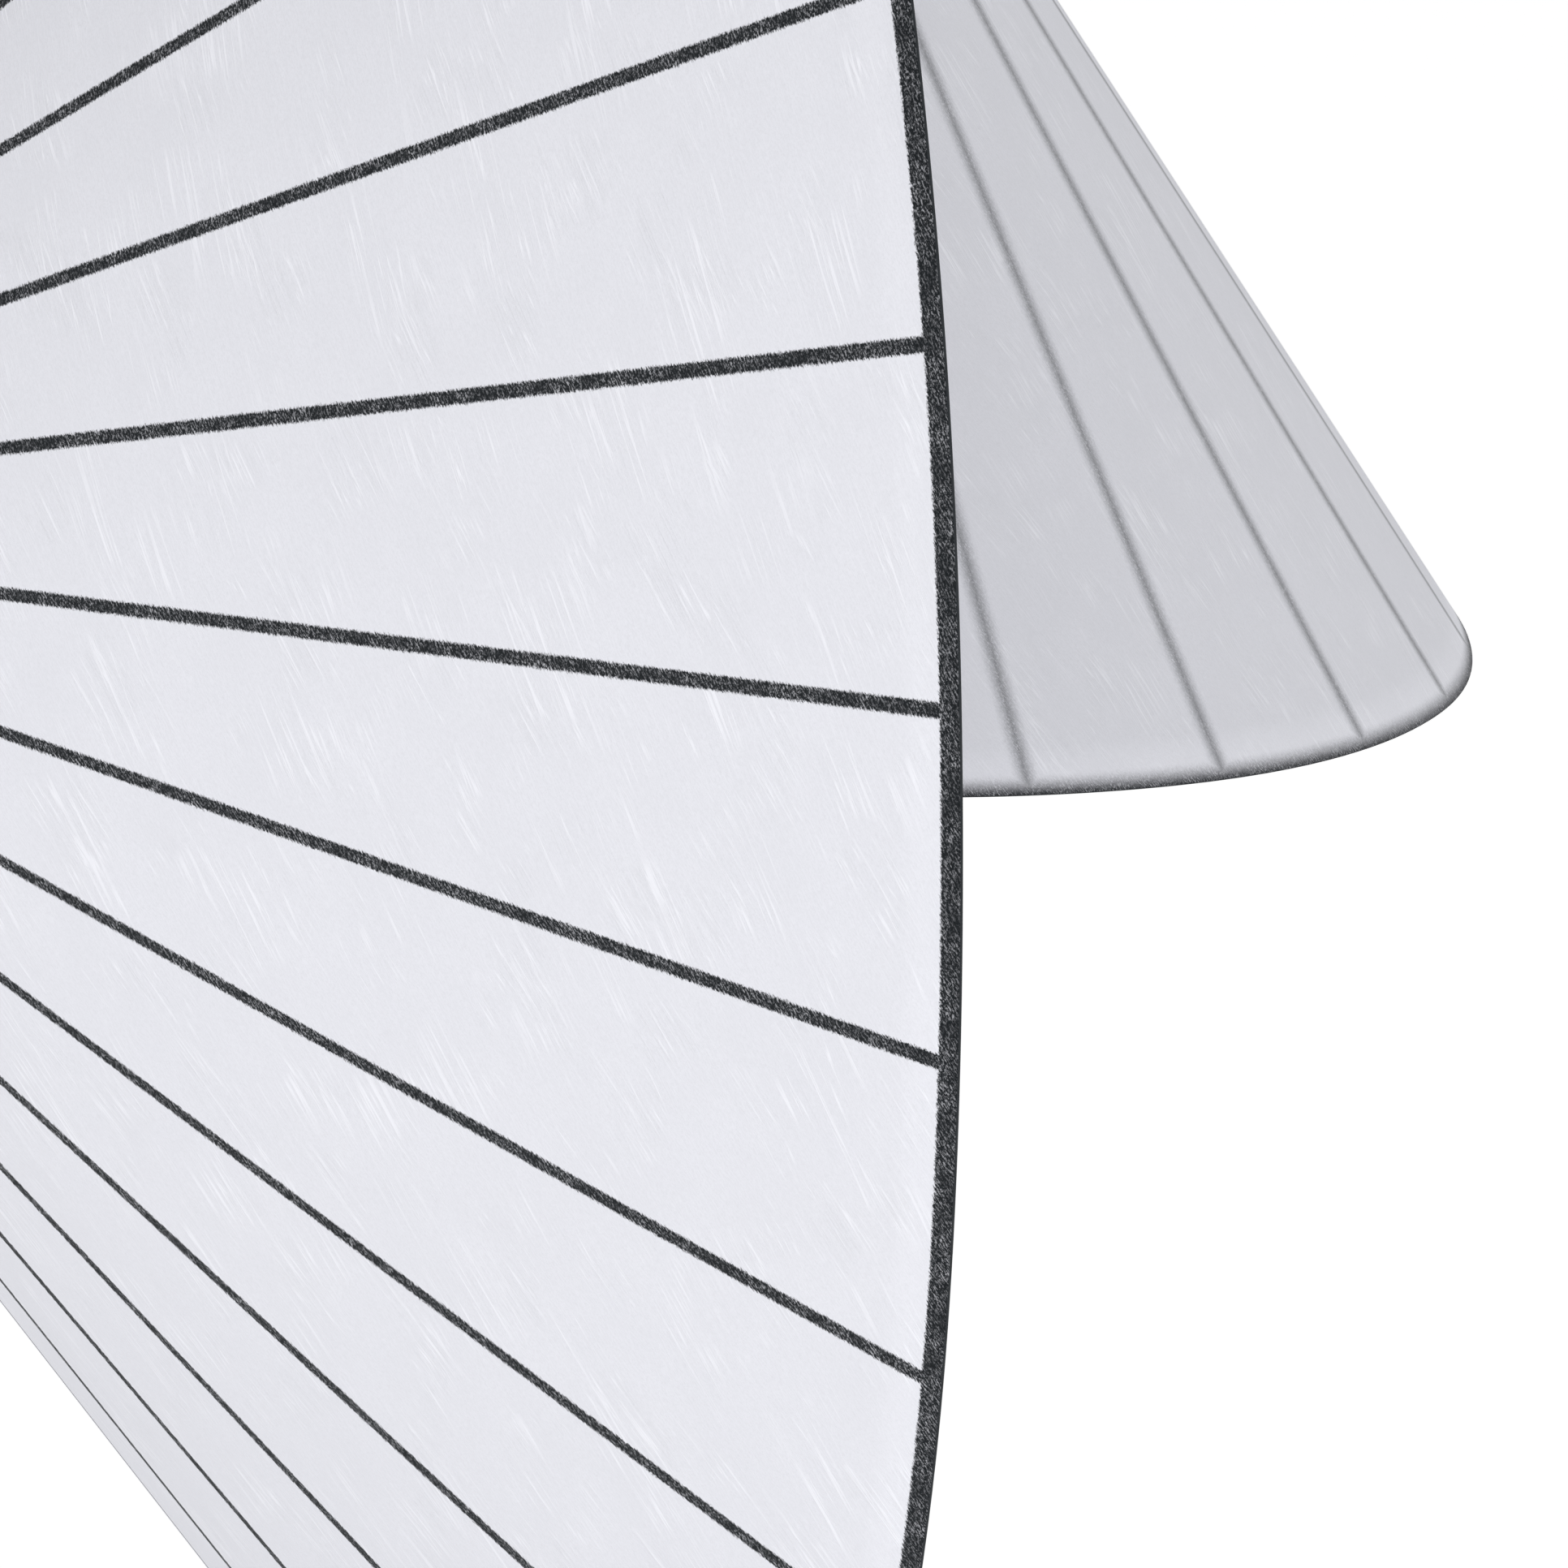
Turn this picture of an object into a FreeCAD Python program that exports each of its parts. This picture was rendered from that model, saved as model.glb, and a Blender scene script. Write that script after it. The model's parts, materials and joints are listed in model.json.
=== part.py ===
"""Two-shade pendant lantern: a swivelling crossbar with two conical shades on drop tubes.

Every piece is written to parts/ as its own STEP file. The origin is the centre of the
ceiling strap's two screw holes, on the ceiling, with +Z up and the crossbar along X.
The wide shade hangs at +X and is turned up; the narrow shade hangs at -X, plumb.
"""
import FreeCAD
import Part

import math
import os

V = FreeCAD.Vector

# Shades: each is cut from one disc of sheet, as a sector of so many gores
SLANT = 320.0
SHEET = 0.55
GORE_DEG = 9.0
WIDE_GORES = 33
NARROW_GORES = 26
LAP_WIDTH = 16.0
LAP_PAST_CUP = 3.0
RIVET_SLANTS = (84.0, 140.0, 195.0, 250.0, 306.0)
RIVET_HEAD_R = 3.2
RIVET_HEAD_H = 1.2
RIVET_R = 1.5
RIVET_SEAT = 0.1
WIDE_SEAM_DEG = -97.3
NARROW_SEAM_DEG = -172.1

# Fits and gaps
RUNNING = 0.05
LOOSE = 0.1
APART = 0.3
HOLE_GAP = 0.6

# Ceiling end
STRAP_T = 2.5
STRAP_W = 24.0
STRAP_SCREWS = 90.0
STRAP_HOLE_R = 2.6
STRAP_DROP = 9.0
STRAP_FLAT = 30.0
STRAP_FOOT = 38.0
STRAP_END = 54.0
STRAP_CORNER = 1.0
NIPPLE_R = 5.0
NIPPLE_TOP = 2.0
NIPPLE_BORE_R = 3.0
NUT_FLATS = 17.0
NUT_H = 5.0
PLUG_FLANGE_R = 11.0
PLUG_FLANGE_H = 2.5
PLUG_DEPTH = 20.0
STEM_R = 8.0
STEM_WALL = 1.5
CANOPY_R = 62.0
CANOPY_H = 40.0
CANOPY_WALL = 1.2
CANOPY_HOLE_GAP = 1.0
CANOPY_ROUND_IN = 5.0
CANOPY_ROUND_UP = 8.0
CANOPY_FACE_IN = 18.0
CANOPY_FACE_UP = 3.0
COLLAR_R = 13.0
COLLAR_H = 10.0
BLOCK_L = 16.0
BLOCK_W = 18.0
BLOCK_H = 12.0
TERMINAL_R = 2.0
TERMINAL_SUNK = 1.0
TERMINAL_SLOT_W = 0.6
TERMINAL_SLOT_H = 0.8
GRUB_R = 2.5

# Crossbar
BAR_DROP = 340.0
NARROW_ARM = 295.0
SHADE_GAP = 15.711
BAR_R = 10.0
BAR_WALL = 1.5
HUB_R = 18.0
HUB_LOW = 22.0
HUB_TOP = 30.0
HUB_CAP_H = 6.0
HUB_SKIRT_GAP = 1.0
POCKET_R = 14.0
POCKET_FLOOR = 18.0
STEM_COLLAR_R = 11.0
STEM_COLLAR_FLOOR = 20.0
WIRE_HOLE_R = 4.0
BAR_SCREW_HEAD_R = 6.0
BAR_SCREW_HEAD_H = 4.0
BAR_SCREW_R = 3.0
END_R = 16.0
END_HALF = 24.0
END_BOSS_R = 14.0
END_BOSS = 32.0
END_WEB = 2.0
LOCK_INSET = 8.0

# Drops: heights are measured from each knuckle pivot
WIDE_PIVOT_DROP = 360.0
NARROW_PIVOT_DROP = 138.5
WIDE_YAW = 38.7
WIDE_TILT = 97.7
TUBE_R = 7.0
TUBE_WALL = 1.5
TUBE_FOOT = 34.0
STOP_R = 12.0
STOP_H = 8.0
TUBE_PAST_STOP = 4.0

# Knuckle
EAR_R = 9.0
EAR_T = 4.0
TONGUE_T = 12.0
BRIDGE_LOW = 22.0
BRIDGE_TOP = 30.0
SPIGOT_R = 4.0
SWIVEL_FLANGE_R = 9.0
SWIVEL_PLUG_UP = 18.0
SWIVEL_SCREW_R = 2.0
SWIVEL_HEAD_R = 6.0
SWIVEL_HEAD_H = 3.5
PIVOT_R = 3.0
PIVOT_HEAD_R = 6.0
PIVOT_HEAD_H = 3.5
WASHER_R = 7.0
WASHER_T = 1.0
WING_HUB_R = 6.0
WING_HUB_H = 8.0
WING_REACH = 14.0
WING_T = 2.5
BOLT_PAST_NUT = 3.0

# Lampholder: levels are depths below the pivot
TONGUE_FOOT = 16.0
TONGUE_DISC_R = 14.0
CAP_TOP = 20.0
CAP_LEDGE = 1.0
CAP_SHOULDER = 30.0
CAP_FOOT = 52.0
CAP_WALL = 2.0
CROWN_IN = 2.0
CROWN_DROP = 4.0
CROWN_INSIDE_DROP = 5.5
STUD_R = 5.0
HOLDER_R = 20.0
CAP_R = HOLDER_R + CAP_LEDGE
HOLDER_TOP = 46.0
HOLDER_FLANGE_H = 4.0
HOLDER_FOOT = 112.0
HOLDER_FLOOR = 66.0
HOLDER_FLOOR_T = 5.0
HOLDER_BORE_R = 14.6
THREAD_TOP = 90.0
THREAD_PITCH = 3.0
THREAD_TURNS = 7
THREAD_DEPTH = 0.6
SEAT_DROP = 90.0
CUP_R = 46.0
CUP_WALL = 1.2
RING_R = 32.0
RING_LIP = 5.0
SHELL_WALL = 0.7
SHELL_FOOT = 108.0
CONTACT_R = 5.0
CONTACT_T = 1.0

# Bulb: levels are depths below the pivot
BASE_TIP = 69.0
BASE_TIP_R = 4.5
BASE_SHOULDER = 75.0
BASE_R = 13.2
BASE_BEVEL = 1.5
BASE_THREAD_DEPTH = 0.8
BASE_THREAD_PITCH = 3.6
BASE_TURNS = 6
BASE_FOOT = 101.0
NECK_R = 13.0
NECK_FOOT = 113.0
GLOBE_DROP = 158.0
GLOBE_R = 40.0
GLOBE_JOIN_R = 24.0
FLARE_OUT = 0.3
FLARE_DOWN = 0.28
GLASS_WALL = 1.0


def rounded(points):
    """A closed face in XZ from points; a point given as (mid, end) draws an arc there."""
    edges = []
    start = points[0]
    for point in points[1:] + [points[0]]:
        end = point
        if isinstance(point[0], tuple):
            mid, end = point
            curve = Part.Arc(V(start[0], 0, start[1]), V(mid[0], 0, mid[1]), V(end[0], 0, end[1]))
            edges.append(curve.toShape())
        else:
            edges.append(Part.LineSegment(V(start[0], 0, start[1]), V(end[0], 0, end[1])).toShape())
        start = end
    return Part.Face(Part.Wire(edges))


def turned(points):
    """A solid of revolution about Z from (radius, height) points."""
    return rounded(points).revolve(V(0, 0, 0), V(0, 0, 1), 360)


def post(radius, low, high, x=0.0, y=0.0):
    """An upright cylinder."""
    return Part.makeCylinder(radius, high - low, V(x, y, low), V(0, 0, 1))


def rod(radius, near, far, z=0.0):
    """A cylinder along X."""
    return Part.makeCylinder(radius, far - near, V(near, 0, z), V(1, 0, 0))


def block(x, y, z):
    """A box from its low and high value on each axis."""
    return Part.makeBox(x[1] - x[0], y[1] - y[0], z[1] - z[0], V(x[0], y[0], z[0]))


def tube(outer, inner, low, high):
    """An upright tube."""
    return post(outer, low, high).cut(post(inner, low, high))


def hexagon(flats, low, high):
    """An upright hexagonal prism."""
    corner = flats / math.sqrt(3)
    turns = [math.radians(60 * step) for step in range(7)]
    outline = Part.makePolygon([V(corner * math.cos(a), corner * math.sin(a), low) for a in turns])
    return Part.Face(outline).extrude(V(0, 0, high - low))


def set_screw(length):
    """A headless screw along X from the origin, with a hexagonal socket at its far end."""
    socket = hexagon(GRUB_R, length - GRUB_R, length)
    socket.rotate(V(0, 0, 0), V(0, 1, 0), 90)
    return rod(GRUB_R, 0, length).cut(socket)


def half_angle(gores):
    """The half angle of the cone that so many gores of the disc roll up to."""
    return math.asin(gores * GORE_DEG / 360)


def apex_depth(gores):
    """How far below the pivot the cone's apex is, so that its hole meets the seat."""
    return SEAT_DROP - (HOLDER_R + HOLE_GAP) / math.tan(half_angle(gores))


def hem_reach(gores, yaw, tilt):
    """How far the hem gets along X from the pivot, on the side towards the other shade."""
    lean = math.sin(math.radians(yaw)) * math.sin(math.radians(tilt))
    depth = apex_depth(gores) + SLANT * math.cos(half_angle(gores))
    return depth * lean + SLANT * math.sin(half_angle(gores)) * math.sqrt(1 - lean**2)


# The bar keeps the shades that gap apart, and the narrow side's arm says where its hub is
PIVOTS_APART = SHADE_GAP + hem_reach(WIDE_GORES, WIDE_YAW, WIDE_TILT) + hem_reach(NARROW_GORES, 0, 0)
WIDE_ARM = PIVOTS_APART - NARROW_ARM


def cone_z(gores, radius, offset):
    """The height where a surface that far outside the middle of the sheet has this radius."""
    angle = half_angle(gores)
    return -apex_depth(gores) - (radius - offset / math.cos(angle)) / math.tan(angle)


def cone_skin(gores, near, far, hole_r):
    """The sheet's cone between two offsets from its middle surface, below a round hole."""
    angle = half_angle(gores)
    along = (math.sin(angle), -math.cos(angle))
    out = (math.cos(angle), math.sin(angle))
    apex = -apex_depth(gores)
    first = hole_r / math.sin(angle)
    corners = [(first, near), (SLANT, near), (SLANT, far), (first, far)]
    return turned([(s * along[0] + e * out[0], apex + s * along[1] + e * out[1]) for s, e in corners])


def on_seam(shape, gores, seam_deg, slant):
    """Moves a shape made along +X at the origin to stand out of the cone at its seam."""
    angle = half_angle(gores)
    shape.rotate(V(0, 0, 0), V(0, 1, 0), -math.degrees(angle))
    shape.translate(V(slant * math.sin(angle), 0, -apex_depth(gores) - slant * math.cos(angle)))
    shape.rotate(V(0, 0, 0), V(0, 0, 1), seam_deg)
    return shape


def rivet():
    """A rivet along X through the lap, with a dome outside and a flat head inside."""
    half = SHEET / 2
    outer = half + SHEET
    dome = Part.makeSphere(
        (RIVET_HEAD_R**2 + RIVET_HEAD_H**2) / (2 * RIVET_HEAD_H),
        V(outer + RIVET_HEAD_H - (RIVET_HEAD_R**2 + RIVET_HEAD_H**2) / (2 * RIVET_HEAD_H), 0, 0),
    )
    dome = dome.common(rod(2 * RIVET_HEAD_R, outer, outer + RIVET_HEAD_H))
    inner = -half - RIVET_SEAT
    shank = rod(RIVET_R, inner, outer)
    flat = rod(RIVET_HEAD_R, inner - RIVET_HEAD_H / 2, inner)
    return dome.fuse(shank).fuse(flat).removeSplitter()


def shade(gores, seam_deg):
    """The rolled sheet with its lap seam and rivet holes, and the seam's rivets."""
    skin = cone_skin(gores, -SHEET / 2, SHEET / 2, HOLDER_R + HOLE_GAP)
    lap = cone_skin(gores, SHEET / 2, SHEET * 1.5, CUP_R + LAP_PAST_CUP)
    strip = block((0, 2 * SLANT), (-LAP_WIDTH / 2, LAP_WIDTH / 2), (-2 * SLANT, 0))
    strip.rotate(V(0, 0, 0), V(0, 0, 1), seam_deg)
    skin = skin.fuse(lap.common(strip))
    rivets = []
    for slant in RIVET_SLANTS:
        hole = rod(RIVET_R + LOOSE, -RIVET_HEAD_R, RIVET_HEAD_R)
        skin = skin.cut(on_seam(hole, gores, seam_deg, slant))
        rivets.append(on_seam(rivet(), gores, seam_deg, slant))
    return {"shade": skin, "seam_rivets": Part.makeCompound(rivets)}


def apex_cup(gores):
    """The spun cup that backs the sheet around the lampholder."""
    low = SHEET / 2 + APART
    high = low + CUP_WALL
    bore = HOLDER_R + RUNNING
    neck = bore + CUP_WALL
    top = -CAP_FOOT - HOLDER_FLANGE_H
    return turned([
        (bore, top), (bore, cone_z(gores, bore, low)), (CUP_R, cone_z(gores, CUP_R, low)),
        (CUP_R, cone_z(gores, CUP_R, high)), (neck, cone_z(gores, neck, high)), (neck, top),
    ])


def shade_ring(gores):
    """The ring that screws up the lampholder and clamps the sheet from inside."""
    offset = -SHEET / 2 - APART
    bore = HOLDER_R + LOOSE
    foot = cone_z(gores, RING_R, offset) - RING_LIP
    return turned([
        (bore, cone_z(gores, bore, offset)), (RING_R, cone_z(gores, RING_R, offset)),
        (RING_R, foot + RING_LIP / 2), (RING_R - RING_LIP, foot), (bore, foot),
    ])


def knuckle():
    """The fork with its bolt, washer and wing nut, and the tongue between its ears."""
    inner = TONGUE_T / 2 + APART
    outer = inner + EAR_T
    cheek = rod(EAR_R, -outer, outer).fuse(block((-outer, outer), (-EAR_R, EAR_R), (0, BRIDGE_TOP)))
    slot = block((-inner, inner), (-2 * EAR_R, 2 * EAR_R), (-2 * EAR_R, BRIDGE_LOW))
    fork = cheek.cut(slot).cut(rod(PIVOT_R + RUNNING, -outer, outer))
    fork = fork.cut(post(SPIGOT_R + RUNNING, BRIDGE_LOW, BRIDGE_TOP)).removeSplitter()

    far = outer + WASHER_T + APART + WING_HUB_H + BOLT_PAST_NUT
    head = rod(PIVOT_HEAD_R, -outer - PIVOT_HEAD_H, -outer)
    bolt = rod(PIVOT_R, -outer, far).fuse(head).removeSplitter()
    washer = rod(WASHER_R, outer, outer + WASHER_T).cut(rod(PIVOT_R + LOOSE, outer, outer + WASHER_T))

    near = outer + WASHER_T + APART
    wings = block((near + WING_T, near + WING_HUB_H), (-WING_T / 2, WING_T / 2), (-WING_REACH, WING_REACH))
    round_off = Part.makeCylinder(WING_REACH, WING_T, V(near + WING_T, -WING_T / 2, 0), V(0, 1, 0))
    wings = wings.common(round_off)
    nut = rod(WING_HUB_R, near, near + WING_HUB_H).fuse(wings)
    nut = nut.cut(rod(PIVOT_R + RUNNING, near, near + WING_HUB_H)).removeSplitter()

    half = TONGUE_T / 2
    tongue = rod(EAR_R, -half, half).fuse(block((-half, half), (-EAR_R, EAR_R), (-TONGUE_FOOT, 0)))
    tongue = tongue.fuse(post(TONGUE_DISC_R, -CAP_TOP, -TONGUE_FOOT))
    tongue = tongue.fuse(post(STUD_R, -CAP_SHOULDER, -CAP_TOP))
    tongue = tongue.cut(rod(PIVOT_R + RUNNING, -half, half)).removeSplitter()
    return {"fork": fork, "pivot_bolt": bolt, "pivot_washer": washer, "wing_nut": nut, "tongue": tongue}


def lampholder():
    """The cap, body, threaded shell and centre contact."""
    cap = turned([
        (STUD_R + RUNNING, -CAP_TOP), (TONGUE_DISC_R, -CAP_TOP),
        ((CAP_R - CROWN_IN, -CAP_TOP - CROWN_DROP), (CAP_R, -CAP_SHOULDER)), (CAP_R, -CAP_FOOT),
        (CAP_R - CAP_WALL, -CAP_FOOT), (CAP_R - CAP_WALL, -CAP_SHOULDER),
        ((CAP_R - CROWN_IN - CAP_WALL, -CAP_TOP - CROWN_INSIDE_DROP), (TONGUE_DISC_R, -CAP_TOP - CAP_WALL)),
        (STUD_R + RUNNING, -CAP_TOP - CAP_WALL),
    ])
    ledge = -CAP_FOOT - HOLDER_FLANGE_H
    spigot = CAP_R - CAP_WALL - LOOSE
    outline = [
        (0, -HOLDER_TOP), (spigot, -HOLDER_TOP), (spigot, -CAP_FOOT), (CAP_R, -CAP_FOOT),
        (CAP_R, ledge), (HOLDER_R, ledge),
    ]
    for turn in range(THREAD_TURNS):
        crest = -THREAD_TOP - turn * THREAD_PITCH
        outline += [(HOLDER_R, crest), (HOLDER_R - THREAD_DEPTH, crest - THREAD_PITCH / 2)]
    outline += [(HOLDER_R, -HOLDER_FOOT), (HOLDER_BORE_R, -HOLDER_FOOT), (HOLDER_BORE_R, -HOLDER_FLOOR)]
    outline += [(0, -HOLDER_FLOOR)]
    body = turned(outline)
    outer = HOLDER_BORE_R - LOOSE
    shell = tube(outer, outer - SHELL_WALL, -SHELL_FOOT, -HOLDER_FLOOR)
    contact = post(CONTACT_R, -HOLDER_FLOOR - CONTACT_T, -HOLDER_FLOOR)
    return {"holder_cap": cap, "holder_body": body, "socket_shell": shell, "centre_contact": contact}


def bulb():
    """The screw base and the opal globe on it."""
    outline = [(0, -BASE_TIP), (BASE_TIP_R, -BASE_TIP), (BASE_R - BASE_BEVEL, -BASE_SHOULDER)]
    for turn in range(BASE_TURNS):
        crest = -BASE_SHOULDER - (turn + 0.5) * BASE_THREAD_PITCH
        valley = crest - BASE_THREAD_PITCH / 2
        outline += [(BASE_R, crest), (BASE_R - BASE_THREAD_DEPTH, valley)]
    outline += [(BASE_R, -BASE_FOOT), (0, -BASE_FOOT)]

    def globe(wall):
        radius = GLOBE_R - wall
        join = GLOBE_JOIN_R - wall
        join_z = -GLOBE_DROP + math.sqrt(radius**2 - join**2)
        neck = NECK_R - wall
        foot = -GLOBE_DROP - radius
        flare = (neck + FLARE_OUT * (join - neck), -NECK_FOOT + FLARE_DOWN * (join_z + NECK_FOOT))
        side = (radius, -GLOBE_DROP)
        return turned([
            (0, -BASE_FOOT), (neck, -BASE_FOOT), (neck, -NECK_FOOT), (flare, (join, join_z)),
            (side, (0, foot)),
        ])

    return {"bulb_base": turned(outline), "bulb_globe": globe(0).cut(globe(GLASS_WALL))}


def drop():
    """The drop tube with its stop ring, the plug in its foot and the plug's retaining screw."""
    stop = WIDE_PIVOT_DROP + END_HALF + APART
    top = stop + STOP_H + TUBE_PAST_STOP
    pipe = tube(TUBE_R, TUBE_R - TUBE_WALL, TUBE_FOOT, top)
    ring = tube(STOP_R, TUBE_R, stop, stop + STOP_H)
    flange = BRIDGE_TOP + APART
    foot = BRIDGE_LOW - APART
    plug = post(SWIVEL_FLANGE_R, flange, TUBE_FOOT).fuse(post(SPIGOT_R, foot, flange))
    plug = plug.fuse(post(TUBE_R - TUBE_WALL, TUBE_FOOT, TUBE_FOOT + SWIVEL_PLUG_UP))
    plug = plug.cut(post(SWIVEL_SCREW_R, foot, TUBE_FOOT)).removeSplitter()
    screw = post(SWIVEL_SCREW_R, foot, TUBE_FOOT).fuse(post(SWIVEL_HEAD_R, foot - SWIVEL_HEAD_H, foot))
    screw = screw.cut(hexagon(SWIVEL_HEAD_R, foot - SWIVEL_HEAD_H, foot - SWIVEL_HEAD_H / 2))
    return {"drop_tube": pipe, "stop_ring": ring, "swivel_plug": plug, "swivel_screw": screw.removeSplitter()}


def ceiling():
    """The strap, nipple plug, nut, stem and terminal block, fixed to the ceiling."""
    low = -STRAP_DROP - STRAP_T
    strap = rounded([
        (-STRAP_END, 0), (-STRAP_FOOT, 0), (-STRAP_FLAT, -STRAP_DROP), (STRAP_FLAT, -STRAP_DROP),
        (STRAP_FOOT, 0), (STRAP_END, 0), (STRAP_END, -STRAP_T), (STRAP_FOOT + STRAP_CORNER, -STRAP_T),
        (STRAP_FLAT + STRAP_CORNER, low), (-STRAP_FLAT - STRAP_CORNER, low),
        (-STRAP_FOOT - STRAP_CORNER, -STRAP_T), (-STRAP_END, -STRAP_T),
    ]).extrude(V(0, STRAP_W, 0))
    strap.translate(V(0, -STRAP_W / 2, 0))
    for side in (-1, 1):
        strap = strap.cut(post(STRAP_HOLE_R, -STRAP_T, 0, side * STRAP_SCREWS / 2))
    strap = strap.cut(post(NIPPLE_R + LOOSE, low, -STRAP_DROP))

    foot = low - PLUG_FLANGE_H
    inner = STEM_R - STEM_WALL
    plug = post(NIPPLE_R, low, -NIPPLE_TOP).fuse(post(PLUG_FLANGE_R, foot, low))
    plug = plug.fuse(post(inner, foot - PLUG_DEPTH, foot)).cut(post(NIPPLE_BORE_R, foot - PLUG_DEPTH, 0))
    nut = hexagon(NUT_FLATS, -STRAP_DROP, -STRAP_DROP + NUT_H)
    nut = nut.cut(post(NIPPLE_R, -STRAP_DROP, -STRAP_DROP + NUT_H))

    stem = tube(STEM_R, inner, -BAR_DROP + STEM_COLLAR_FLOOR, foot)
    collar_top = -BAR_DROP + HUB_TOP - APART
    collar = tube(STEM_COLLAR_R, STEM_R, -BAR_DROP + STEM_COLLAR_FLOOR, collar_top)

    near = PLUG_FLANGE_R + 2 * PLUG_FLANGE_H
    terminals = block((near, near + BLOCK_L), (-BLOCK_W / 2, BLOCK_W / 2), (low - BLOCK_H, low))
    screws = []
    for place in (-1, 0, 1):
        at = (near + BLOCK_L / 2, place * BLOCK_W / 3)
        head = low - BLOCK_H + TERMINAL_SUNK
        terminals = terminals.cut(post(TERMINAL_R + LOOSE, low - BLOCK_H, low - BLOCK_H / 2, *at))
        screw = post(TERMINAL_R, head, low - BLOCK_H / 2, *at)
        slot = block(
            (at[0] - 2 * TERMINAL_R, at[0] + 2 * TERMINAL_R),
            (at[1] - TERMINAL_SLOT_W / 2, at[1] + TERMINAL_SLOT_W / 2),
            (head, head + TERMINAL_SLOT_H),
        )
        screws.append(screw.cut(slot))
    return {
        "ceiling_strap": strap, "nipple_plug": plug.removeSplitter(), "nipple_nut": nut,
        "stem_tube": stem, "stem_collar": collar, "terminal_block": terminals,
        "terminal_screws": Part.makeCompound(screws),
    }


def canopy():
    """The cup that hides the strap, the collar under it and the collar's set screw."""
    mouth = -APART
    hole = STEM_R + CANOPY_HOLE_GAP
    wall = CANOPY_WALL
    round_r = CANOPY_R - CANOPY_ROUND_IN
    round_z = -CANOPY_H + CANOPY_ROUND_UP
    face_r = CANOPY_R - CANOPY_FACE_IN
    face_z = -CANOPY_H + CANOPY_FACE_UP
    outer = [
        (hole, mouth), (CANOPY_R, mouth), (CANOPY_R, -CANOPY_H / 2),
        ((round_r, round_z), (face_r, face_z)), (hole, -CANOPY_H),
    ]
    inner = [
        (hole, mouth), (CANOPY_R - wall, mouth), (CANOPY_R - wall, -CANOPY_H / 2),
        ((round_r - wall, round_z + wall), (face_r, face_z + wall)), (hole, -CANOPY_H + wall),
    ]
    cup = turned(outer).cut(turned(inner))
    collar = tube(COLLAR_R, STEM_R + RUNNING, -CANOPY_H - COLLAR_H, -CANOPY_H)
    middle = -CANOPY_H - COLLAR_H / 2
    near = STEM_R + APART
    collar = collar.cut(rod(GRUB_R + RUNNING, 0, COLLAR_R, middle))
    grub = set_screw(COLLAR_R - near - APART)
    grub.translate(V(near, 0, middle))
    return {"canopy_cup": cup, "canopy_collar": collar, "canopy_grub": grub}


def crossbar():
    """The hub, its cap and screw, the bar, the two end blocks and their set screws."""
    low = -BAR_DROP - HUB_LOW
    top = -BAR_DROP + HUB_TOP
    hub = post(HUB_R, low, top).cut(rod(BAR_R + RUNNING, -HUB_R, HUB_R, -BAR_DROP))
    hub = hub.cut(post(POCKET_R, -BAR_DROP + POCKET_FLOOR, top))
    hub = hub.cut(post(WIRE_HOLE_R, -BAR_DROP, top)).cut(post(BAR_SCREW_R + RUNNING, low, -BAR_DROP))
    cap = tube(HUB_R, STEM_R + RUNNING, top, top + HUB_CAP_H)
    skirt = tube(POCKET_R - LOOSE, STEM_COLLAR_R + APART, -BAR_DROP + POCKET_FLOOR + HUB_SKIRT_GAP, top)
    cap = cap.fuse(skirt).removeSplitter()
    screw = post(BAR_SCREW_R, low, -BAR_DROP - BAR_R + 2 * BAR_WALL)
    head = Part.makeSphere(BAR_SCREW_HEAD_R, V(0, 0, low)).common(
        post(BAR_SCREW_HEAD_R, low - BAR_SCREW_HEAD_H, low)
    )
    screw = screw.fuse(head).removeSplitter()

    setback = TUBE_R + RUNNING + END_WEB
    ends = (setback - NARROW_ARM, WIDE_ARM - setback)
    bar = rod(BAR_R, *ends, -BAR_DROP).cut(rod(BAR_R - BAR_WALL, *ends, -BAR_DROP))
    bar = bar.cut(post(WIRE_HOLE_R, -BAR_DROP, top))
    bar = bar.cut(post(BAR_SCREW_R + RUNNING, low, -BAR_DROP))

    made = {"hub_body": hub, "hub_cap": cap, "bar_screw": screw, "crossbar_tube": bar}
    grubs = []
    for name, pivot_x in (("wide", WIDE_ARM), ("narrow", -NARROW_ARM)):
        end = post(END_R, -BAR_DROP - END_HALF, -BAR_DROP + END_HALF)
        end = end.fuse(rod(END_BOSS_R, -END_BOSS, 0, -BAR_DROP))
        end = end.cut(rod(BAR_R + RUNNING, -END_BOSS, -TUBE_R - RUNNING - END_WEB, -BAR_DROP))
        end = end.cut(post(TUBE_R + RUNNING, -BAR_DROP - END_HALF, -BAR_DROP + END_HALF))
        end = end.cut(rod(GRUB_R + RUNNING, 0, END_R, -BAR_DROP))
        lock_x = LOCK_INSET - END_BOSS
        drilled = post(GRUB_R + RUNNING, -BAR_DROP - END_BOSS_R, -BAR_DROP, lock_x)
        end = end.cut(drilled).removeSplitter()
        near = TUBE_R + APART
        clamp = set_screw(END_R - near - APART)
        clamp.translate(V(near, 0, -BAR_DROP))
        lock = set_screw(END_BOSS_R - BAR_R - APART)
        lock.rotate(V(0, 0, 0), V(0, 1, 0), 90)
        lock.translate(V(lock_x, 0, -BAR_DROP - BAR_R))
        for shape in (end, clamp, lock):
            if pivot_x < 0:
                shape.rotate(V(0, 0, 0), V(0, 0, 1), 180)
            shape.translate(V(pivot_x, 0, 0))
        made["end_block_" + name] = end
        grubs += [clamp, lock]
    made["end_grubs"] = Part.makeCompound(grubs)
    return made


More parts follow.
